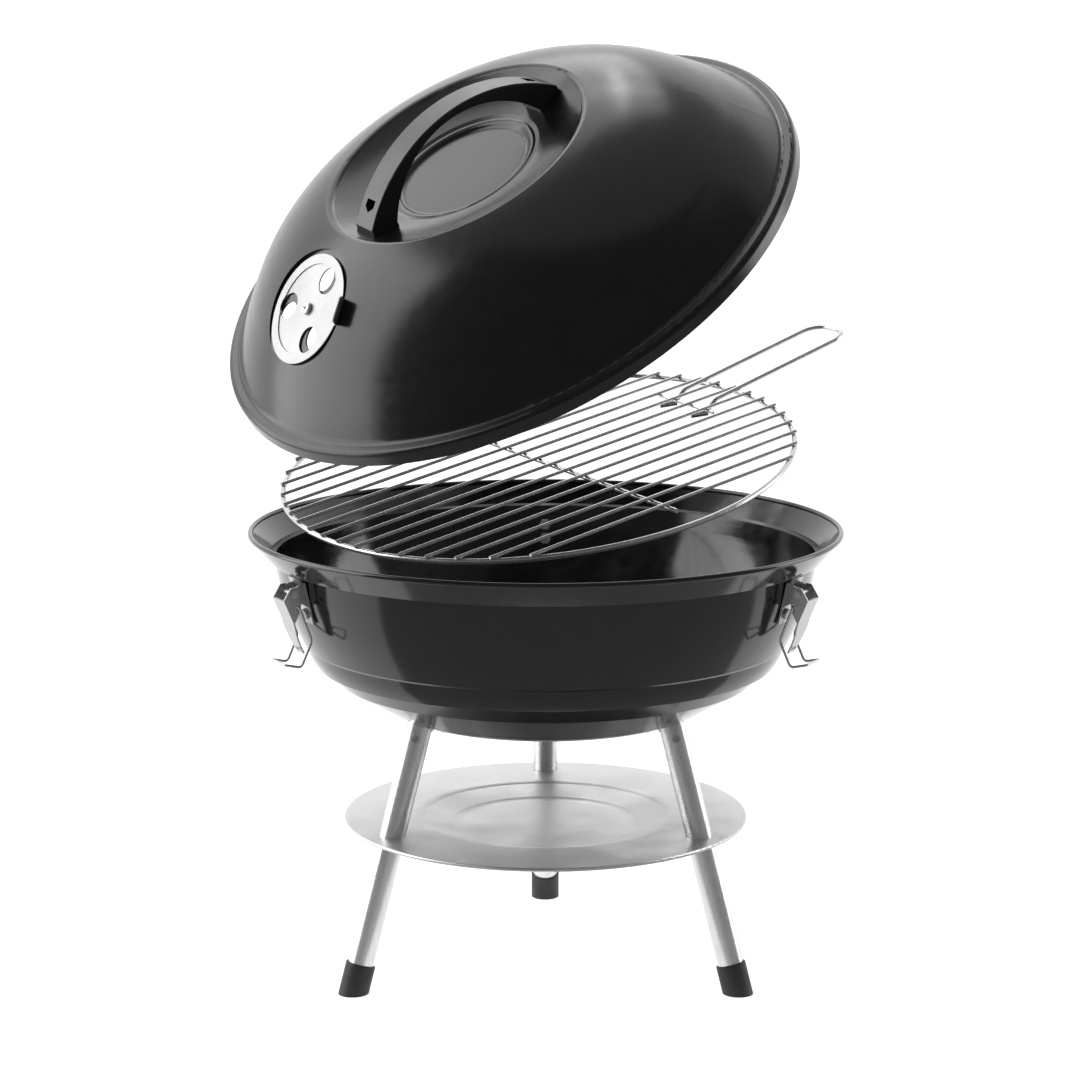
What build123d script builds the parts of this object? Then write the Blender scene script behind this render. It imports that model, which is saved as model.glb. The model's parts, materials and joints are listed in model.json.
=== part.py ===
from build123d import *
import os
from math import atan2, cos, degrees, hypot, radians, sin, sqrt

# Table-top kettle charcoal grill, opened out: the cooking grate and the lid are held above the bowl.
# Millimetres. Origin: centre of the three legs on the floor. +Z up, -Y is the front.

# ---- driving dimensions ---------------------------------------------------------------------------
sheet = 1.0                       # pressed steel of the bowl and the lid
leg_azimuths = {"left": -150.0, "right": -30.0, "rear": 90.0}    # each latch is above its leg

lip_radius = 185.0                # outermost edge of the bowl
lip_top = 280.3
lip_roll = 1.6                    # radius of the rolled lip
bowl_floor = 164.5                # underside of the flat bottom
bowl_floor_radius = 84.0
ledge_radius = 139.0              # step that carries the charcoal grate
ledge_height = 195.5
wall_top = 261.5                  # where the side wall meets the collar under the flare
wall_top_radius = 168.4

leg_foot_radius = 136.9           # leg axis at the floor
leg_kink = (89.6, 163.5)          # leg axis at the bend: radius, height
leg_diameter = 16.0
leg_wall = 1.0
socket_shown = 4.2                # bare length of the socket below the bend
spigot_length = 24.0              # part of the socket inside the leg tube
lock_turns = {-150.0: 56.0, -30.0: -56.0, 90.0: 56.0}    # lock screws, from straight outward
tongue = (60.0, 86.0, 16.0, 2.5)  # bolted tongue of the socket: inner and outer radius, width, thickness
bolt_radius = 70.0                # leg bolts in the bowl floor
cap_diameter = 18.4
cap_length = 19.0

plate_radius = 127.0              # ash plate
plate_top = 96.5
plate_sheet = 0.8

grate_centre = (-4.8, 33.3, 315.8)            # centre of the grate's ring, lifted out of the bowl
grate_normal = (-0.107, -0.196, 0.975)
bar_azimuth = 36.0                # direction of the bars, in the grate's own frame
ring_radius = 162.0
ring_wire = 1.75                  # wire radii
bar_wire = 1.1
cross_wire = 1.5
rod_wire = 1.0
bar_pitch = 16.1
bars_each_side = 8
bar_height = 2.6                  # bar axes above the ring's plane
rod_reach = 125.0                 # short rod that the lifting handle hooks under
weld = 0.25                       # depth that crossing wires melt into each other

lid_centre = (-24.8, -25.6, 458.4)            # on the lid's axis, level with the outside of its rim
lid_normal = (-0.409, -0.427, 0.806)
lid_radius = 187.5
lid_skirt = 8.5                   # depth of the rim's outer side
lid_handle_azimuth = 29.8         # both in the lid's own frame
handle_screw_reach = 61.0         # screws of the lid handle, out from the lid's axis
nut_seat = 68.0
vent_azimuth = -151.5
dome_edge = (177.5, 2.8)          # foot of the dome: radius, height
dome_shoulder = (157.0, 27.0)
dome_crest = (85.2, 70.3)
dish_floor = 56.2                 # flat centre of the sunken top

vent_radius = 129.1               # vent centre, out from the lid's axis
vent_height = 51.85
vent_tilt = 32.0
vent_depth = 5.8                  # flat seat below the dome
vent_disc_radius = 34.0
vent_recess_radius = 37.5
vent_hole_radius = 8.2
vent_hole_reach = 21.0
vent_hole_angle = 41.0            # first hole of the damper
vent_offset = 14.0                # how far the damper stands from fully open, in degrees

latch_pivot = (177.0, 256.0)      # lever pin: radius, height
bail_pivot = (175.2, 248.6)       # bail ends in the lever's sides
ear_inside = 5.5                  # half the gap between the base's ears
lever_half = 7.9
bail_half = 9.75
bail_wire = 0.85


# ---- frames ---------------------------------------------------------------------------------------
def tilted_frame(centre, normal):
    """A frame at centre, leaned from upright by the shortest turn until its Z is normal."""
    n = Vector(*normal).normalized()
    x_dir = Vector(1 - n.X * n.X / (1 + n.Z), -n.X * n.Y / (1 + n.Z), -n.X)
    return Plane(origin=centre, x_dir=x_dir, z_dir=n)


def radial_plane(frame, azimuth):
    """The plane through a frame's axis whose x runs outward at azimuth and whose y is the axis."""
    turn = radians(azimuth)
    out = frame.x_dir * cos(turn) + frame.y_dir * sin(turn)
    return Plane(origin=frame.origin, x_dir=out, z_dir=out.cross(frame.z_dir))


def place(plane, x, y, z=0.0):
    """A point of a plane's own coordinates, in the model's frame."""
    return plane.from_local_coords(Vector(x, y, z))


def turned(frame, azimuth):
    """The same frame with its x axis turned to azimuth."""
    turn = radians(azimuth)
    x_dir = frame.x_dir * cos(turn) + frame.y_dir * sin(turn)
    return Plane(origin=frame.origin, x_dir=x_dir, z_dir=frame.z_dir)


# ---- pressed-sheet outlines ------------------------------------------------------------------------
# An outline is a start point and a list of moves: (end,) is a straight line, (middle, end) is an arc.
def ends_of(start, move):
    """Unit directions of a move at its start and its end, and the sideways direction at its middle."""
    a, b = Vector(*start), Vector(*move[-1])
    if len(move) == 1:
        along = (b - a).normalized()
        return along, along, Vector(-along.Y, along.X)
    p, q = Vector(*move[0]) - a, b - a
    turn = p.cross(q).Z
    centre = a + (Vector(-p.Y, p.X) * q.dot(q) - Vector(-q.Y, q.X) * p.dot(p)) / (2 * turn)
    spin = 1 if turn > 0 else -1
    first, middle, last = a - centre, a + p - centre, b - centre
    return (Vector(-first.Y, first.X).normalized() * spin, Vector(-last.Y, last.X).normalized() * spin,
            middle.normalized() * -spin)


def moved(start, moves, amount):
    """The same outline moved to its left by amount, with mitred corners."""
    shapes = []
    point = start
    for move in moves:
        shapes.append(ends_of(point, move))
        point = move[-1]

    def corner(point, before, after):
        left_a, left_b = Vector(-before.Y, before.X), Vector(-after.Y, after.X)
        step = (left_a + left_b) * (amount / (1 + left_a.dot(left_b)))
        return (point[0] + step.X, point[1] + step.Y)

    new_start = corner(start, shapes[0][0], shapes[0][0])
    new_moves = []
    for i, move in enumerate(moves):
        after = shapes[i + 1][0] if i + 1 < len(moves) else shapes[i][1]
        end = corner(move[-1], shapes[i][1], after)
        if len(move) == 1:
            new_moves.append((end,))
        else:
            step = shapes[i][2] * amount
            new_moves.append(((move[0][0] + step.X, move[0][1] + step.Y), end))
    return new_start, new_moves


def draw(start, moves):
    """Lines and arcs of an outline, in the open line builder."""
    for move in moves:
        if len(move) == 1:
            Line(start, move[0])
        else:
            ThreePointArc(start, *move)
        start = move[-1]


def draw_sheet(start, moves, amount):
    """A closed strip between an outline and the same outline moved by amount."""
    inner_start, inner_moves = moved(start, moves, amount)
    draw(start, moves)
    draw(inner_start, inner_moves)
    Line(start, inner_start)
    Line(moves[-1][-1], inner_moves[-1][-1])


bowl_frame = Plane.XY
grate_frame = turned(tilted_frame(grate_centre, grate_normal), bar_azimuth)   # x along the bars
lid_frame = tilted_frame(lid_centre, lid_normal)
lid_axis = Axis(lid_frame.origin, lid_frame.z_dir)
lid_side = radial_plane(lid_frame, lid_handle_azimuth)


def vent_plane(height):
    """The plane of the vent, at a height over the dome's surface; its x runs down the dome."""
    side = radial_plane(lid_frame, vent_azimuth)
    lean = radians(vent_tilt)
    out = side.x_dir * sin(lean) + side.y_dir * cos(lean)
    down = side.x_dir * cos(lean) - side.y_dir * sin(lean)
    return Plane(origin=place(side, vent_radius, vent_height) + out * height, x_dir=down, z_dir=out)


parts = {}


def keep(name, builder):
    builder.part.label = name
    parts[name] = builder.part


# ---- bowl -----------------------------------------------------------------------------------------
# Outside of the bowl from the centre of its floor to the lip.
bowl_start = (0, bowl_floor)
bowl_moves = [((bowl_floor_radius, bowl_floor),),
              ((94.0, bowl_floor + 1.4), (103.0, 170.4)),
              ((130.0, 186.0),),
              ((ledge_radius, ledge_height),),
              ((143.0, ledge_height + 0.5),),
              ((147.2, 202.6), (150.0, 209.4)),
              ((151.3, 210.6),),
              ((162.4, 236.0), (wall_top_radius, wall_top)),
              ((wall_top_radius + 0.4, wall_top + 2.4),),
              ((172.8, 264.6),),
              ((lip_radius - lip_roll, lip_top - 1.9 * lip_roll),)]


def latch_screw_planes(azimuth):
    """Planes square to the side wall at a latch's two screws, each at the wall's outer face."""
    side = radial_plane(bowl_frame, azimuth)
    planes = []
    for radius, height, lean in ((166.6, 252.0, 11.0), (164.4, 242.4, 15.0)):
        out = side.x_dir * cos(radians(lean)) - side.y_dir * sin(radians(lean))
        planes.append(Plane(origin=place(side, radius, height), x_dir=side.z_dir, z_dir=out))
    return planes


with BuildPart() as bowl_shell:
    with BuildSketch(radial_plane(bowl_frame, 0)):
        with BuildLine():
            draw_sheet(bowl_start, bowl_moves, sheet)
        make_face()
        with Locations((lip_radius - lip_roll, lip_top - lip_roll)):
            Circle(lip_roll)
    revolve(axis=Axis.Z)
    with BuildSketch(Plane.XY.offset(bowl_floor - 1)):
        with PolarLocations(38.0, 6):                       # air holes
            Circle(6.0)
        for azimuth in leg_azimuths.values():
            with PolarLocations(bolt_radius, 1, start_angle=azimuth):
                Circle(3.2)
    extrude(amount=4, mode=Mode.SUBTRACT)
    for azimuth in leg_azimuths.values():
        for plane in latch_screw_planes(azimuth):
            with BuildSketch(plane):
                Circle(2.1)
            extrude(amount=4, both=True, mode=Mode.SUBTRACT)
keep("bowl_shell", bowl_shell)

with BuildPart() as charcoal_grate:
    grate_z = ledge_height + sheet + 0.4
    with BuildSketch(Plane.XY.offset(grate_z)):
        Circle(140.6)
        with GridLocations(16.0, 50.0, 13, 5):
            SlotOverall(40.0, 8.0, rotation=90, mode=Mode.SUBTRACT)
    with BuildSketch(Plane.XY.offset(grate_z)):
        Circle(140.6)
        Circle(132.0, mode=Mode.SUBTRACT)
    extrude(amount=1.2)
keep("charcoal_grate", charcoal_grate)


# ---- legs -----------------------------------------------------------------------------------------
leg_run = hypot(leg_foot_radius - leg_kink[0], leg_kink[1])      # floor to bend, along the leg
leg_lean = atan2(leg_foot_radius - leg_kink[0], leg_kink[1])
tube_start = 4.2
tube_end = leg_run - socket_shown


def leg_plane(azimuth, run):
    """The plane square to a leg's axis, run millimetres up it; its x points out and up."""
    side = radial_plane(bowl_frame, azimuth)
    up = side.y_dir * cos(leg_lean) - side.x_dir * sin(leg_lean)
    out = side.x_dir * cos(leg_lean) + side.y_dir * sin(leg_lean)
    return Plane(origin=place(side, leg_foot_radius, 0) + up * run, x_dir=out, z_dir=up)


def lock_screw_plane(azimuth):
    """The plane on a leg's side, square to the lock screw; its z points away from the leg."""
    along = leg_plane(azimuth, tube_end - 3.6)
    turn = radians(lock_turns[azimuth])
    out = along.x_dir * cos(turn) + along.y_dir * sin(turn)
    return Plane(origin=along.origin + out * leg_diameter / 2, x_dir=along.z_dir, z_dir=out)


def leg_socket(azimuth):
    """Bent socket under the bowl: a spigot for the tube, the bend, and a tongue with a bolt hole."""
    side = radial_plane(bowl_frame, azimuth)
    with BuildPart() as socket:
        with BuildSketch(leg_plane(azimuth, tube_end - spigot_length)):
            Circle(leg_diameter / 2 - leg_wall - 0.1)
        extrude(amount=spigot_length)
        with BuildSketch(leg_plane(azimuth, tube_end)):
            Circle(leg_diameter / 2)
        extrude(amount=socket_shown)
        with BuildLine() as bend:
            kink = place(side, *leg_kink)
            inner = place(side, leg_kink[0] - 10.0, leg_kink[1] + 7.5)
            Line(kink, inner)
        with BuildSketch(Plane(origin=kink, z_dir=bend.line % 0)):
            Circle(leg_diameter / 2)
        sweep(path=bend.line)
        with BuildSketch(Plane(origin=kink, x_dir=side.x_dir, z_dir=side.z_dir)):
            with BuildLine():
                Line((0, -leg_diameter / 2), (0, leg_diameter / 2))
                CenterArc((0, 0), leg_diameter / 2, 90, -180)
            make_face()
        revolve(axis=Axis(kink, side.y_dir))
        with BuildSketch(radial_plane(Plane.XY.offset(-0.1), 0)):
            with BuildLine():
                draw(bowl_start, bowl_moves)
                Polyline(bowl_moves[-1][-1], (0, lip_top), bowl_start)
            make_face()
        revolve(axis=Axis.Z, mode=Mode.SUBTRACT)
        with BuildSketch(Plane(origin=place(side, (tongue[0] + tongue[1]) / 2, bowl_floor),
                               x_dir=side.x_dir, z_dir=-side.y_dir)):
            RectangleRounded(tongue[1] - tongue[0], tongue[2], 3.0)
            with Locations((bolt_radius - (tongue[0] + tongue[1]) / 2, 0)):
                Circle(3.2, mode=Mode.SUBTRACT)
        extrude(amount=tongue[3])
        with BuildSketch(lock_screw_plane(azimuth)):
            Circle(1.5)
        extrude(amount=-9, mode=Mode.SUBTRACT)
    return socket


def leg_tube(azimuth):
    with BuildPart() as tube:
        with BuildSketch(leg_plane(azimuth, tube_start)):
            Circle(leg_diameter / 2)
            Circle(leg_diameter / 2 - leg_wall, mode=Mode.SUBTRACT)
        extrude(amount=tube_end - tube_start)
        with BuildSketch(lock_screw_plane(azimuth)):
            Circle(1.6)
        extrude(amount=-4, mode=Mode.SUBTRACT)
    return tube


def foot_cap(azimuth):
    """Rubber cap, worn flat where it stands on the floor."""
    with BuildPart() as cap:
        with BuildSketch(leg_plane(azimuth, -4)):
            Circle(cap_diameter / 2)
        extrude(amount=cap_length + 4)
        fillet(cap.faces().sort_by(Axis.Z)[-1].edges(), 0.7)
        with BuildSketch(leg_plane(azimuth, tube_start)):
            Circle(leg_diameter / 2)
        extrude(amount=cap_length, mode=Mode.SUBTRACT)
        split(bisect_by=Plane.XY, keep=Keep.TOP)
    return cap


for side_name, azimuth in leg_azimuths.items():
    keep("leg_socket_" + side_name, leg_socket(azimuth))
    keep("leg_tube_" + side_name, leg_tube(azimuth))
    keep("foot_cap_" + side_name, foot_cap(azimuth))

with BuildPart() as leg_lock_screws:
    for azimuth in leg_azimuths.values():
        with BuildSketch(lock_screw_plane(azimuth)):
            Circle(2.3)
        extrude(amount=1.5)
        with BuildSketch(lock_screw_plane(azimuth)):
            Circle(1.4)
        extrude(amount=-8.5)
        with BuildSketch(lock_screw_plane(azimuth).offset(0.9)):
            Rectangle(2.8, 0.6)
            Rectangle(0.6, 2.8)
        extrude(amount=2, mode=Mode.SUBTRACT)
keep("leg_lock_screws", leg_lock_screws)


def at_leg_bolts(height):
    """Level planes on the axes of the three leg bolts."""
    sides = [radial_plane(bowl_frame, azimuth) for azimuth in leg_azimuths.values()]
    return [Plane(origin=place(side, bolt_radius, height)) for side in sides]


with BuildPart() as leg_bolts:
    for plane in at_leg_bolts(bowl_floor - tongue[3]):
        with BuildSketch(plane):
            RegularPolygon(5.7, 6)
        extrude(amount=-4.0)
        with BuildSketch(plane):
            Circle(3.0)
        extrude(amount=12.5)
keep("leg_bolts", leg_bolts)

with BuildPart() as leg_washers:
    for plane in at_leg_bolts(bowl_floor + sheet):
        with BuildSketch(plane):
            Circle(6.0)
            Circle(3.2, mode=Mode.SUBTRACT)
        extrude(amount=1.2)
keep("leg_washers", leg_washers)

with BuildPart() as leg_nuts:
    for plane in at_leg_bolts(bowl_floor + sheet + 1.2):
        with BuildSketch(plane):
            RegularPolygon(5.7, 6)
            Circle(3.05, mode=Mode.SUBTRACT)
        extrude(amount=5.0)
keep("leg_nuts", leg_nuts)


# ---- ash plate ------------------------------------------------------------------------------------
plate_under = plate_top - plate_sheet
well = plate_under - 7.6
plate_moves = [((54.0, well),),
               ((57.5, well + 0.5), (60.5, well + 1.6)),
               ((77.0, plate_under - 1.6),),
               ((79.5, plate_under - 0.5), (83.0, plate_under)),
               ((plate_radius - 1.0, plate_under),)]
with BuildPart() as ash_plate:
    with BuildSketch(radial_plane(bowl_frame, 0)):
        with BuildLine():
            draw_sheet((0, well), plate_moves, plate_sheet)
        make_face()
        with Locations((plate_radius - 1.1, plate_top - 1.1)):
            Circle(1.1)
    revolve(axis=Axis.Z)
    for azimuth in leg_azimuths.values():
        with BuildSketch(leg_plane(azimuth, 70)):
            Circle(leg_diameter / 2 + 0.35)
        extrude(amount=60, mode=Mode.SUBTRACT)
keep("ash_plate", ash_plate)


# ---- latches --------------------------------------------------------------------------------------
def latch_base(azimuth):
    """Base: a plate on the wall, a tab turned out under the flare, and two ears for the lever pin."""
    side = radial_plane(bowl_frame, azimuth)
    with BuildPart() as base:
        with BuildSketch(side):
            Polygon((169.2, 261.4), (163.5, 236.4), (164.5, 236.2), (170.3, 261.2), (172.8, 261.3),
                    (174.1, 264.6), (173.1, 264.9), (172.1, 262.4), (169.4, 262.3), align=None)
        extrude(amount=7.0, both=True)
        for hand in (1, -1):
            with BuildSketch(side.offset(hand * ear_inside)):
                Polygon((169.7, 261.0), (173.4, 260.8), (178.8, 258.6), (179.8, 256.0), (178.6, 253.4),
                        (166.4, 246.6), align=None)
                with Locations(latch_pivot):
                    Circle(1.6, mode=Mode.SUBTRACT)
            extrude(amount=hand * 1.0)
        for plane in latch_screw_planes(azimuth):
            with BuildSketch(plane):
                Circle(2.15)
            extrude(amount=6, both=True, mode=Mode.SUBTRACT)
    return base


def lever_back():
    """Outer face of the lever from its open top to the curled tip of its tail."""
    Line((184.0, 252.6), (177.9, 238.6))
    ThreePointArc((177.9, 238.6), (174.8, 228.6), (169.6, 218.4))


def latch_lever(azimuth):
    """Lever: a channel with two cheeks, drawn down into a narrow curled tail."""
    side = radial_plane(bowl_frame, azimuth)
    front = Plane(origin=place(side, 190.0, 0), x_dir=side.z_dir, z_dir=-side.x_dir)
    with BuildPart() as lever:
        with BuildSketch(side):
            with BuildLine():
                lever_back()
                offset(amount=1.0, side=Side.RIGHT)
            make_face()
        extrude(amount=lever_half, both=True)
        for hand in (1, -1):
            with BuildSketch(side.offset(hand * (lever_half - 1.0))):
                Polygon((184.0, 252.6), (179.4, 260.0), (175.6, 260.4), (173.6, 258.0), (172.6, 250.0),
                        (173.6, 244.6), (176.6, 238.9), (177.9, 238.6), align=None)
            extrude(amount=hand * 1.0)
        with BuildSketch(front):
            for hand in (1, -1):
                Polygon((hand * 8.4, 237.2), (hand * 6.2, 229.0), (hand * 3.6, 217.0), (hand * 12.0, 217.0),
                        (hand * 12.0, 237.2), align=None)
        extrude(amount=30, mode=Mode.SUBTRACT)
        with BuildSketch(side):
            with Locations(latch_pivot):
                Circle(1.75)
            with Locations(bail_pivot):
                Circle(1.15)
        extrude(amount=12, both=True, mode=Mode.SUBTRACT)
    return lever


def latch_bail(azimuth):
    """Wire bail: two bowed arms pivoting in the lever's cheeks, joined by a hooked end."""
    side = radial_plane(bowl_frame, azimuth)
    x, z = bail_pivot
    near, far = -bail_half, bail_half
    stations = [(x, z, near + 2.7), (x, z, near), (x - 8.3, z - 21.4, near), (x - 1.0, z - 37.0, near),
                (x + 9.2, z - 34.4, near), (x + 9.2, z - 34.4, far), (x - 1.0, z - 37.0, far),
                (x - 8.3, z - 21.4, far), (x, z, far), (x, z, far - 2.7)]
    points = [place(side, *station) for station in stations]
    with BuildPart() as bail:
        with BuildLine() as route:
            FilletPolyline(*points, radius=[1.6, 6.0, 3.0, 2.2, 2.2, 3.0, 6.0, 1.6])
        with BuildSketch(Plane(origin=points[0], z_dir=route.line % 0)):
            Circle(bail_wire)
        sweep(path=route.line)
    return bail


def lever_pin(azimuth):
    side = radial_plane(bowl_frame, azimuth)
    with BuildPart() as pin:
        with BuildSketch(side):
            with Locations(latch_pivot):
                Circle(1.5)
        extrude(amount=lever_half + 0.6, both=True)
        for hand in (1, -1):
            with BuildSketch(side.offset(hand * (lever_half + 0.25))):
                with Locations(latch_pivot):
                    Circle(2.3)
            extrude(amount=hand * 0.45)
    return pin


for side_name, azimuth in leg_azimuths.items():
    keep("latch_base_" + side_name, latch_base(azimuth))
    keep("latch_lever_" + side_name, latch_lever(azimuth))
    keep("latch_bail_" + side_name, latch_bail(azimuth))
    keep("lever_pin_" + side_name, lever_pin(azimuth))

base_stand_off = 1.65             # outer face of a latch base over the wall, with play
with BuildPart() as latch_screws:
    for azimuth in leg_azimuths.values():
        for plane in latch_screw_planes(azimuth):
            with BuildSketch(plane.offset(base_stand_off)):
                Circle(3.4)
            extrude(amount=1.6)
            with BuildSketch(plane.offset(base_stand_off)):
                Circle(2.0)
            extrude(amount=-8.6)
keep("latch_screws", latch_screws)

with BuildPart() as latch_nuts:
    for azimuth in leg_azimuths.values():
        for plane in latch_screw_planes(azimuth):
            with BuildSketch(plane.offset(-sheet - 0.25)):
                RegularPolygon(4.0, 6)
                Circle(2.05, mode=Mode.SUBTRACT)
            extrude(amount=-3.0)
keep("latch_nuts", latch_nuts)


# ---- cooking grate --------------------------------------------------------------------------------
under_bars = bar_height - bar_wire + weld
cross_level = under_bars - cross_wire
rod_level = under_bars - rod_wire
rods = [((1.5, -138.0, cross_level), (1.5, 138.0, cross_level), cross_wire),
        ((rod_reach, -23.0, rod_level), (rod_reach, 39.0, rod_level), rod_wire)]
for n in range(-bars_each_side, bars_each_side + 1):
    across = n * bar_pitch
    half = sqrt((ring_radius + 1.4) ** 2 - across ** 2)
    rods.append(((-half, across, bar_height), (half, across, bar_height), bar_wire))

with BuildPart() as cooking_grate:
    with BuildSketch(radial_plane(grate_frame, 0)):
        with Locations((ring_radius, 0)):
            Circle(ring_wire)
    revolve(axis=Axis(grate_frame.origin, grate_frame.z_dir))
    for start, end, radius in rods:
        rod = place(grate_frame, *end) - place(grate_frame, *start)
        with BuildSketch(Plane(origin=place(grate_frame, *start), z_dir=rod)):
            Circle(radius)
        extrude(amount=rod.length)
keep("cooking_grate", cooking_grate)

handle_wire = 1.6
toe_radius = 2.0
toe_level = rod_level - rod_wire - 1.9 - toe_radius
handle_legs = (1.5 * bar_pitch, -0.5 * bar_pitch)     # each leg stands in the middle of a gap
with BuildPart() as grate_handle:
    left, right = handle_legs
    stations = [(130.2, left, toe_level), (140.0, left, 2.7), (257.0, left, 15.0),
                (257.0, right, 15.0), (140.0, right, 2.7), (130.2, right, toe_level)]
    points = [place(grate_frame, *station) for station in stations]
    with BuildLine() as route:
        FilletPolyline(*points, radius=[6.0, 13.0, 13.0, 6.0])
    with BuildSketch(Plane(origin=points[0], z_dir=route.line % 0)):
        Circle(handle_wire)
    sweep(path=route.line)
    for leg in handle_legs:
        heel = place(grate_frame, 131.4, leg - 0.8, toe_level)
        toe = place(grate_frame, 121.2, leg + 4.3, toe_level)
        with BuildSketch(Plane(origin=heel, z_dir=toe - heel)):
            Circle(toe_radius)
        extrude(amount=(toe - heel).length)
keep("grate_handle", grate_handle)


# ---- lid ------------------------------------------------------------------------------------------
# Outside of the lid from the centre of its sunken top to the lower edge of its skirt.
lid_start = (0, dish_floor)
dish_moves = [((39.0, dish_floor),),
              ((41.2, dish_floor + 0.5), (42.6, dish_floor + 1.7)),
              ((44.6, dish_floor + 2.7), (46.8, dish_floor + 2.6)),
              ((49.6, 59.8),),
              ((66.0, 63.4), (80.6, 68.9)),
              ((82.7, 70.1), dome_crest)]
lid_moves = dish_moves + [((126.2, 53.0), dome_shoulder),
                          ((168.0, 14.9), dome_edge),
                          ((179.0, 1.3), (181.2, 0.7)),
                          ((184.6, 0.7),),
                          ((186.7, -0.3), (lid_radius, -2.4)),
                          ((lid_radius, -lid_skirt),)]

with BuildPart() as lid_hollow:                        # the room inside, with the vent's seat left in
    under_start, under_moves = moved(lid_start, lid_moves, -sheet)
    under_end = under_moves[-1][-1]
    with BuildSketch(radial_plane(lid_frame, 0)):
        with BuildLine():
            draw(under_start, under_moves)
            Polyline(under_end, (under_end[0], -lid_skirt - 5), (0, -lid_skirt - 5), under_start)
        make_face()
    revolve(axis=lid_axis)
    with BuildSketch(vent_plane(-vent_depth - sheet)):
        Circle(vent_recess_radius + sheet)
    extrude(amount=20.0, mode=Mode.SUBTRACT)

with BuildPart() as lid_shell:
    with BuildSketch(radial_plane(lid_frame, 0)):
        with BuildLine():
            draw(lid_start, lid_moves)
            Polyline((lid_radius, -lid_skirt), (0, -lid_skirt), lid_start)
        make_face()
    revolve(axis=lid_axis)
    with BuildSketch(vent_plane(-vent_depth)):
        Circle(vent_recess_radius)
    extrude(amount=20.0, mode=Mode.SUBTRACT)
    add(lid_hollow.part, mode=Mode.SUBTRACT)
    with BuildSketch(vent_plane(-vent_depth + 1.0)):
        Circle(2.1)
        with PolarLocations(vent_hole_reach, 3, start_angle=vent_hole_angle + vent_offset):
            Circle(vent_hole_radius)
    extrude(amount=-4.0, mode=Mode.SUBTRACT)
    for hand in (1, -1):
        with BuildSketch(Plane(origin=place(lid_side, hand * handle_screw_reach, 50.0), x_dir=lid_side.x_dir,
                               z_dir=lid_side.y_dir)):
            Circle(2.7)
        extrude(amount=25.0, mode=Mode.SUBTRACT)
keep("lid_shell", lid_shell)

with BuildPart() as lid_handle:
    foot = 72.8
    inner_foot = 56.2
    with BuildSketch(lid_side):
        with BuildLine():
            ThreePointArc((-foot, 68.8), (0, 99.6), (foot, 68.8))
            Polyline((foot, 68.8), (foot + 0.4, 60.0), (inner_foot, 57.0), (inner_foot, 62.6))
            ThreePointArc((inner_foot, 62.6), (0, 94.8), (-inner_foot, 62.6))
            Polyline((-inner_foot, 62.6), (-inner_foot, 57.0), (-foot - 0.4, 60.0), (-foot, 68.8))
        make_face()
    extrude(amount=9.9, both=True)
    long_edges = lid_handle.edges().filter_by(GeomType.CIRCLE)
    fillet(long_edges, 0.9)
    with BuildSketch(radial_plane(lid_frame, 0)):
        with BuildLine():
            draw(lid_start, dish_moves)
            Polyline(dome_crest, (dome_crest[0], 40.0), (0, 40.0), lid_start)
        make_face()
    revolve(axis=lid_axis, mode=Mode.SUBTRACT)
    for hand in (1, -1):
        with BuildSketch(Plane(origin=place(lid_side, hand * handle_screw_reach, nut_seat), x_dir=lid_side.x_dir,
                               z_dir=lid_side.y_dir)):
            RegularPolygon(5.2, 6)
        extrude(amount=12.0, mode=Mode.SUBTRACT)
        with BuildSketch(Plane(origin=place(lid_side, hand * handle_screw_reach, 50.0), x_dir=lid_side.x_dir,
                               z_dir=lid_side.y_dir)):
            Circle(2.7)
        extrude(amount=25.0, mode=Mode.SUBTRACT)
keep("lid_handle", lid_handle)

with BuildPart() as handle_screws:                     # from inside the lid up into the handle
    for hand in (1, -1):
        level = Plane(origin=place(lid_side, hand * handle_screw_reach, 59.5), x_dir=lid_side.x_dir,
                      z_dir=lid_side.y_dir)
        with BuildSketch(level):
            Circle(4.6)
        extrude(amount=-2.6)
        with BuildSketch(level):
            Circle(2.5)
        extrude(amount=12.8)
keep("handle_screws", handle_screws)

with BuildPart() as handle_nuts:
    for hand in (1, -1):
        with BuildSketch(Plane(origin=place(lid_side, hand * handle_screw_reach, nut_seat), x_dir=lid_side.x_dir,
                               z_dir=lid_side.y_dir)):
            RegularPolygon(4.6, 6)
            Circle(2.55, mode=Mode.SUBTRACT)
        extrude(amount=3.4)
keep("handle_nuts", handle_nuts)

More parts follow.
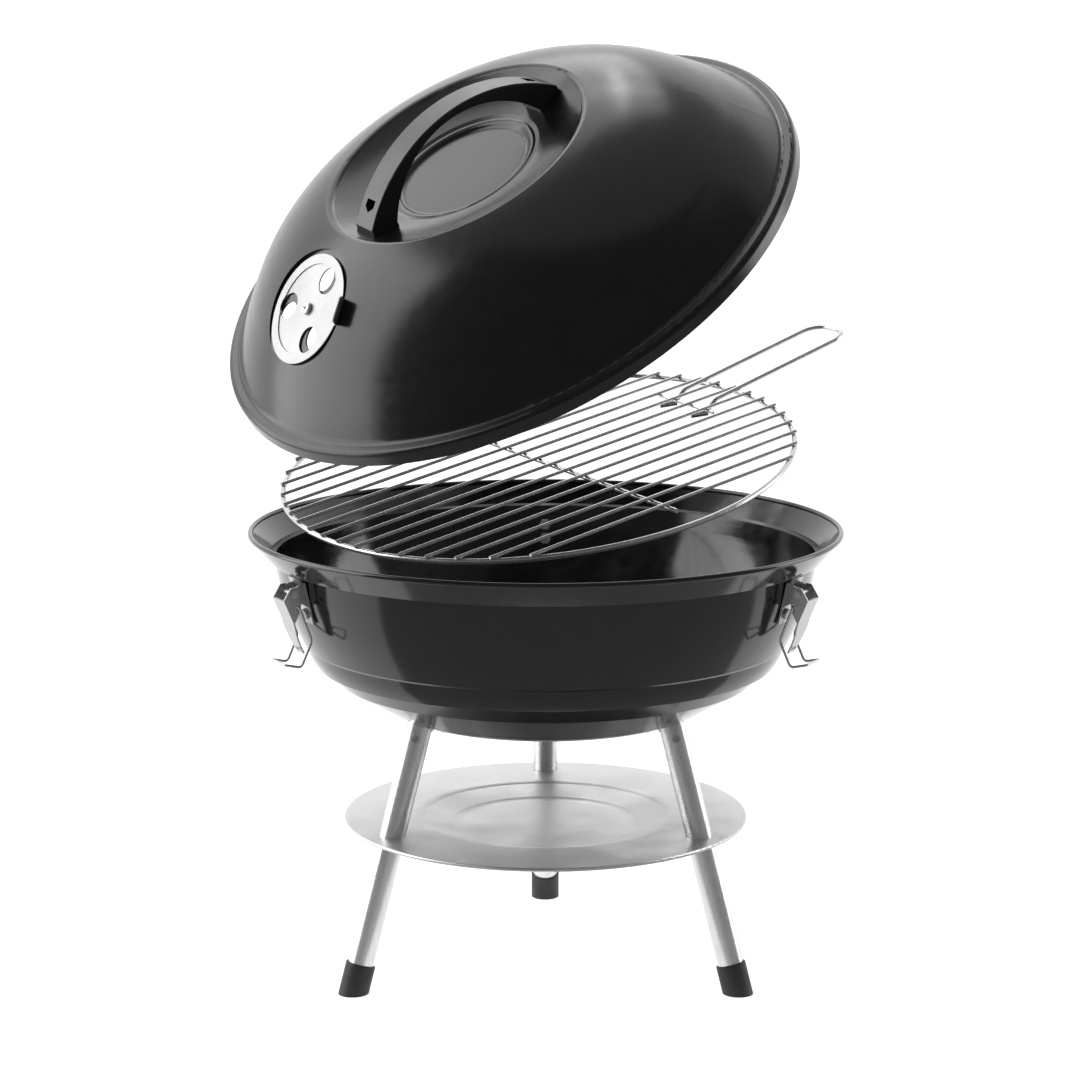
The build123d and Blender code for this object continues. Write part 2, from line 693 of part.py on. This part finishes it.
# ---- vent damper ----------------------------------------------------------------------------------
damper_gap = 0.3
damper_sheet = 0.8
tab_length = 11.5
damper_under = damper_gap - vent_depth                 # its underside, over the dome's surface
with BuildPart() as vent_damper:
    with BuildSketch(vent_plane(damper_under)):
        Circle(28.6)
    extrude(amount=damper_sheet)
    with BuildSketch(vent_plane(damper_under + 0.6)):
        Circle(vent_disc_radius)
        Circle(28.0, mode=Mode.SUBTRACT)
    extrude(amount=damper_sheet)
    with BuildSketch(vent_plane(damper_under - 1)):
        Circle(2.1)
        with PolarLocations(vent_hole_reach, 3, start_angle=vent_hole_angle):
            Circle(vent_hole_radius)
    extrude(amount=4.0, mode=Mode.SUBTRACT)
    tab = turned(vent_plane(damper_under + 0.6), 103.0)
    slope = tab_length / sqrt(2)                       # the tab is bent up by 45 degrees
    bend = vent_disc_radius + 0.6
    tip = (bend + slope, slope)
    with BuildSketch(Plane(origin=tab.origin, x_dir=tab.x_dir, z_dir=-tab.y_dir)):
        with BuildLine():
            Polyline((bend - 2.6, 0), (bend, 0), tip, (tip[0] - 0.57, tip[1] + 0.57),
                     (bend - 0.33, damper_sheet), (bend - 2.6, damper_sheet), close=True)
        make_face()
    extrude(amount=8.0, both=True)
    sheet_dir = tab.z_dir - tab.x_dir
    across_sheet = vent_damper.edges().filter_by(Axis(tab.origin, sheet_dir), tolerance=0.02)
    fillet(across_sheet.sort_by(Axis(tab.origin, tab.z_dir + tab.x_dir))[-2:], 2.5)
keep("vent_damper", vent_damper)

with BuildPart() as vent_screw:
    head = vent_plane(damper_under + damper_sheet + 0.15)
    with BuildSketch(head):
        Circle(3.8)
    extrude(amount=2.2)
    fillet(vent_screw.faces().sort_by(Axis(head.origin, head.z_dir))[-1].edges(), 1.2)
    with BuildSketch(head):
        Circle(2.0)
    extrude(amount=-7.0)
    with BuildSketch(head.offset(1.1)):
        Rectangle(4.6, 0.9)
        Rectangle(0.9, 4.6)
    extrude(amount=3, mode=Mode.SUBTRACT)
keep("vent_screw", vent_screw)

with BuildPart() as vent_washer:
    with BuildSketch(vent_plane(-vent_depth - sheet)):
        Circle(5.0)
        Circle(2.15, mode=Mode.SUBTRACT)
    extrude(amount=-0.8)
keep("vent_washer", vent_washer)

with BuildPart() as vent_nut:
    with BuildSketch(vent_plane(-vent_depth - sheet - 0.8)):
        RegularPolygon(4.0, 6)
        Circle(2.05, mode=Mode.SUBTRACT)
    extrude(amount=-2.6)
keep("vent_nut", vent_nut)

# ---- files ----------------------------------------------------------------------------------------
os.makedirs("parts", exist_ok=True)
for name, part in parts.items():
    export_step(part, "parts/" + name + ".step")
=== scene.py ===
import json
import math

import bmesh
import bpy
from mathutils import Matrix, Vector

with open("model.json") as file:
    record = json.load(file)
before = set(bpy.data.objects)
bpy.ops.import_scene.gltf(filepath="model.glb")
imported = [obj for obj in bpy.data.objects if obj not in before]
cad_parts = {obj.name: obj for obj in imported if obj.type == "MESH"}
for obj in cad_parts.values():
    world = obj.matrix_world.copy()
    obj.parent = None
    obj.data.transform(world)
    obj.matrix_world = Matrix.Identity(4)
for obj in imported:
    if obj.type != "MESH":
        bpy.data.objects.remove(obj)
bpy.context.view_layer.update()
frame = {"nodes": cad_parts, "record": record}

UNSTRETCHED = (1, 1, 1)
WHITE = (1, 1, 1, 1)
PLATING_WAVES = 0.04            # strength of the waves left by plating
BUMP_DEPTH = 0.0002             # of the ripple, brushing and plating waves, in metres
GRAIN_DEPTH = 0.0003            # of the grain on plastic and rubber

FLOOR_REACH = 4.2               # radius of the floor's wall
FLOOR_BEND = 1.2                # radius of the curve between the floor and its wall
FLOOR_HEIGHT = 4.5
FLOOR_TURNS = 96                # facets around
FLAG_INNER, FLAG_REACH = 0.165, 1.5
FLAG_LIFT, FLAG_TOP = 0.002, 2.75


# ---- node helpers -----------------------------------------------------------------------------------
def new_material(name):
    """A material with its nodes, its links and its shader."""
    material = bpy.data.materials.new(name)
    material.use_nodes = True
    nodes = material.node_tree.nodes
    return material, nodes, material.node_tree.links, nodes["Principled BSDF"]


def noise(nodes, links, coordinates, scale, detail):
    """Cloudy values between 0 and 1, finer with a higher scale."""
    node = nodes.new("ShaderNodeTexNoise")
    node.inputs["Scale"].default_value = scale
    node.inputs["Detail"].default_value = detail
    links.new(coordinates, node.inputs["Vector"])
    return node.outputs["Fac"]


def ramp(nodes, links, value, low, high):
    """A ramp of greys over value. Its low and high ends are each (place, grey)."""
    node = nodes.new("ShaderNodeValToRGB")
    for element, (place, grey) in zip(node.color_ramp.elements, (low, high)):
        element.position = place
        element.color = (grey, grey, grey, 1.0)
    links.new(value, node.inputs["Fac"])
    return node.outputs["Color"]


def bump(nodes, links, shader, height, strength, distance):
    """Raises the shader's surface where height is high."""
    node = nodes.new("ShaderNodeBump")
    node.inputs["Strength"].default_value = strength
    node.inputs["Distance"].default_value = distance
    links.new(height, node.inputs["Height"])
    links.new(node.outputs["Normal"], shader.inputs["Normal"])


def stretched(nodes, links, scale):
    """Object coordinates, in metres, stretched by a scale for each axis."""
    coordinates = nodes.new("ShaderNodeTexCoord")
    mapping = nodes.new("ShaderNodeMapping")
    mapping.inputs["Scale"].default_value = scale
    links.new(coordinates.outputs["Object"], mapping.inputs["Vector"])
    return mapping.outputs["Vector"]


# ---- materials --------------------------------------------------------------------------------------
def enamel_material(name, smooth, dull, specular):
    """Black vitreous enamel with a faint ripple. Its roughness varies between smooth and dull."""
    material, nodes, links, shader = new_material(name)
    shader.inputs["Specular IOR Level"].default_value = specular
    place = stretched(nodes, links, UNSTRETCHED)
    cloud = noise(nodes, links, place, 60, 4)
    haze = noise(nodes, links, place, 180, 3)
    ripple = noise(nodes, links, place, 420, 2)
    links.new(ramp(nodes, links, cloud, (0.3, 0.0025), (0.7, 0.0045)), shader.inputs["Base Color"])
    links.new(ramp(nodes, links, haze, (0.3, smooth), (0.7, dull)), shader.inputs["Roughness"])
    bump(nodes, links, shader, ripple, 0.05, BUMP_DEPTH)
    return material


def brushed_material(name, colour, roughness, scale, strength=0.12, fine=900, metal=1.0):
    """Satin steel, with the lines of its brushing along the axis that has the lowest scale."""
    material, nodes, links, shader = new_material(name)
    lines = noise(nodes, links, stretched(nodes, links, scale), fine, 2)
    cloud = noise(nodes, links, stretched(nodes, links, UNSTRETCHED), 35, 3)
    shader.inputs["Metallic"].default_value = metal
    links.new(ramp(nodes, links, lines, (0.25, colour * 0.86), (0.75, colour)), shader.inputs["Base Color"])
    links.new(ramp(nodes, links, cloud, (0.3, roughness * 0.85), (0.7, roughness * 1.15)),
              shader.inputs["Roughness"])
    bump(nodes, links, shader, lines, strength, BUMP_DEPTH)
    return material


def chrome_material(name, colour, roughness, metal=1.0):
    """Plated wire: bright, with slight waves left by the plating."""
    material, nodes, links, shader = new_material(name)
    place = stretched(nodes, links, UNSTRETCHED)
    tarnish = noise(nodes, links, place, 90, 3)
    haze = noise(nodes, links, place, 240, 2)
    shader.inputs["Metallic"].default_value = metal
    links.new(ramp(nodes, links, tarnish, (0.3, colour * 0.93), (0.7, colour)), shader.inputs["Base Color"])
    links.new(ramp(nodes, links, haze, (0.3, roughness * 0.8), (0.7, roughness * 1.3)),
              shader.inputs["Roughness"])
    bump(nodes, links, shader, noise(nodes, links, place, 300, 2), PLATING_WAVES, BUMP_DEPTH)
    return material


def moulded_material(name, colour, roughness, grain, strength):
    """Moulded plastic or rubber with a fine grain."""
    material, nodes, links, shader = new_material(name)
    place = stretched(nodes, links, UNSTRETCHED)
    fine = noise(nodes, links, place, grain, 3)
    haze = noise(nodes, links, place, 120, 3)
    shades = ramp(nodes, links, fine, (0.3, colour * 0.8), (0.7, colour * 1.2))
    links.new(shades, shader.inputs["Base Color"])
    links.new(ramp(nodes, links, haze, (0.3, roughness * 0.9), (0.7, roughness * 1.1)),
              shader.inputs["Roughness"])
    bump(nodes, links, shader, fine, strength, GRAIN_DEPTH)
    return material


ENAMEL = enamel_material("enamel", 0.10, 0.14, 0.55)
LID_ENAMEL = enamel_material("lid_enamel", 0.19, 0.24, 0.42)
GRID = moulded_material("charcoal_grid", 0.04, 0.5, 700, 0.2)
TUBE = brushed_material("tube", 0.76, 0.28, (1, 1, 0.04), metal=0.8)
PLATE = brushed_material("plate", 0.62, 0.42, (0.6, 0.6, 0.6), strength=0.3, fine=1500)
LATCH = brushed_material("latch", 0.48, 0.26, (1, 1, 0.1), metal=0.85)
HARDWARE = chrome_material("hardware", 0.55, 0.22, metal=0.85)
WIRE = chrome_material("wire", 0.55, 0.22, metal=0.8)
HANDLE = moulded_material("handle", 0.008, 0.30, 500, 0.08)
RUBBER = moulded_material("rubber", 0.012, 0.6, 900, 0.25)
DAMPER = brushed_material("damper", 0.34, 0.42, UNSTRETCHED, strength=0.12, metal=0.9)

FINISHES = {"enamel": ENAMEL, "charcoal_grid": GRID, "socket_steel": TUBE, "tube_steel": TUBE,
            "cap_rubber": RUBBER, "plate_steel": PLATE, "hardware": HARDWARE, "latch_steel": LATCH,
            "wire_chrome": WIRE, "handle_plastic": HANDLE, "damper_steel": DAMPER}
BLACKED = chrome_material("blacked", 0.05, 0.4)
# The lid is duller than the bowl, and the handle's nuts are black, deep in their pockets.
SPECIAL = {"lid_shell": LID_ENAMEL, "handle_nuts": BLACKED}
for subpart in frame["record"]["subparts"]:
    node = frame["nodes"][subpart["node"]]
    for slot in node.material_slots:
        slot.material = SPECIAL.get(subpart["node"], FINISHES[subpart["material_slot"]])


# ---- stage ------------------------------------------------------------------------------------------
def plain_piece(name, rows, closed=False):
    """A sheet of quads through rows of points. Closed rows join their ends."""
    mesh = bpy.data.meshes.new(name)
    shape = bmesh.new()
    rows = [[shape.verts.new(point) for point in row] for row in rows]
    for a, b in zip(rows, rows[1:]):
        count = len(a) if closed else len(a) - 1
        for i in range(count):
            j = (i + 1) % len(a)
            shape.faces.new((a[i], a[j], b[j], b[i])).smooth = True
    shape.to_mesh(mesh)
    shape.free()
    piece = bpy.data.objects.new(name, mesh)
    bpy.context.scene.collection.objects.link(piece)
    return piece


def matt_material(name, base, glow):
    """A plain surface with no gloss, which also glows so that it reads evenly pale or grey."""
    material, nodes, links, shader = new_material(name)
    shader.inputs["Base Color"].default_value = (base, base, base, 1)
    shader.inputs["Roughness"].default_value = 1.0
    shader.inputs["Specular IOR Level"].default_value = 0.0
    shader.inputs["Emission Color"].default_value = WHITE
    shader.inputs["Emission Strength"].default_value = glow
    return material


def ring(radius, z, angles):
    """Points on a level circle, at angles in radians."""
    return [(radius * math.cos(angle), radius * math.sin(angle), z) for angle in angles]


def floor():
    """A pale round floor that curves up into a wall all around."""
    flat = FLOOR_REACH - FLOOR_BEND
    profile = [(0.3, 0.0), (1.2, 0.0), (2.2, 0.0), (flat, 0.0)]
    for i in range(1, 13):
        turn = math.radians(i * 7.5)
        profile.append((flat + FLOOR_BEND * math.sin(turn), FLOOR_BEND * (1 - math.cos(turn))))
    profile.append((FLOOR_REACH, FLOOR_HEIGHT))
    angles = [math.tau * i / FLOOR_TURNS for i in range(FLOOR_TURNS)]
    rows = [ring(radius, z, angles) for radius, z in profile]
    piece = plain_piece("floor", rows, closed=True)
    shape = bmesh.new()
    shape.from_mesh(piece.data)
    # The innermost row's edges are filled in with one face.
    rim = [edge for edge in shape.edges if edge.is_boundary and edge.verts[0].co.length < 1.0]
    bmesh.ops.contextual_create(shape, geom=rim)
    shape.to_mesh(piece.data)
    shape.free()
    piece.data.materials.append(matt_material("floor", 0.35, 0.88))


def flag(name, rows, grey):
    """A dark studio flag: it only shades reflections and is never in view itself."""
    piece = plain_piece(name, rows)
    piece.data.materials.append(matt_material(name, 0, grey))
    piece.visible_camera = False
    piece.visible_shadow = False


def softbox(name, place, target, size, power):
    """A rectangular lamp that faces its target. Size is its width and height."""
    light = bpy.data.lights.new(name, "AREA")
    light.shape = "RECTANGLE"
    light.size, light.size_y = size
    light.energy = power
    lamp = bpy.data.objects.new(name, light)
    lamp.location = place
    lamp.rotation_euler = (Vector(target) - Vector(place)).to_track_quat("-Z", "Y").to_euler()
    bpy.context.scene.collection.objects.link(lamp)


def studio():
    """An even pale surround, dark flags in front and soft lamps on the other sides."""
    world = bpy.data.worlds.new("studio")
    bpy.context.scene.world = world
    world.use_nodes = True
    background = world.node_tree.nodes["Background"]
    background.inputs["Color"].default_value = WHITE
    background.inputs["Strength"].default_value = 0.45
    front = [math.radians(degrees) for degrees in range(-158, 3, 5)]
    flag("flag_floor", [ring(radius, FLAG_LIFT, front) for radius in (FLAG_INNER, FLAG_REACH)], 0.40)
    flag("flag_wall", [ring(FLAG_REACH, z, front) for z in (FLAG_LIFT, FLAG_TOP)], 0.13)
    softbox("left_box", (-1.7, 0.05, 1.0), (0, 0, 0.45), (1.8, 2.0), 30)
    softbox("back_box", (-0.6, 1.45, 2.5), (0, 0, 0.5), (2.2, 1.9), 22)
    # A small lamp and two crossed strips in one place make the star of light near the lid's top.
    star_lamps = (("star", (0.14, 0.12), 0.4),
                  ("star_up", (0.08, 0.75), 0.7),
                  ("star_across", (0.6, 0.07), 0.4))
    for name, size, power in star_lamps:
        softbox(name, (0.02, 1.0, 2.0), (0.04, -0.07, 0.55), size, power)
    softbox("right_box", (1.7, 0.15, 0.6), (0, 0, 0.25), (1.4, 1.5), 14)


def camera():
    """A long lens, a little above the grill and nearly level."""
    data = bpy.data.cameras.new("camera")
    data.sensor_width = 36.0
    data.lens = 103.7
    eye = bpy.data.objects.new("camera", data)
    eye.location = (-0.00353, -1.9071, 0.6206)
    eye.rotation_euler = (math.radians(79.63), 0, 0)
    bpy.context.scene.collection.objects.link(eye)
    bpy.context.scene.camera = eye


floor()
studio()
camera()
bpy.context.scene.view_settings.view_transform = "Standard"
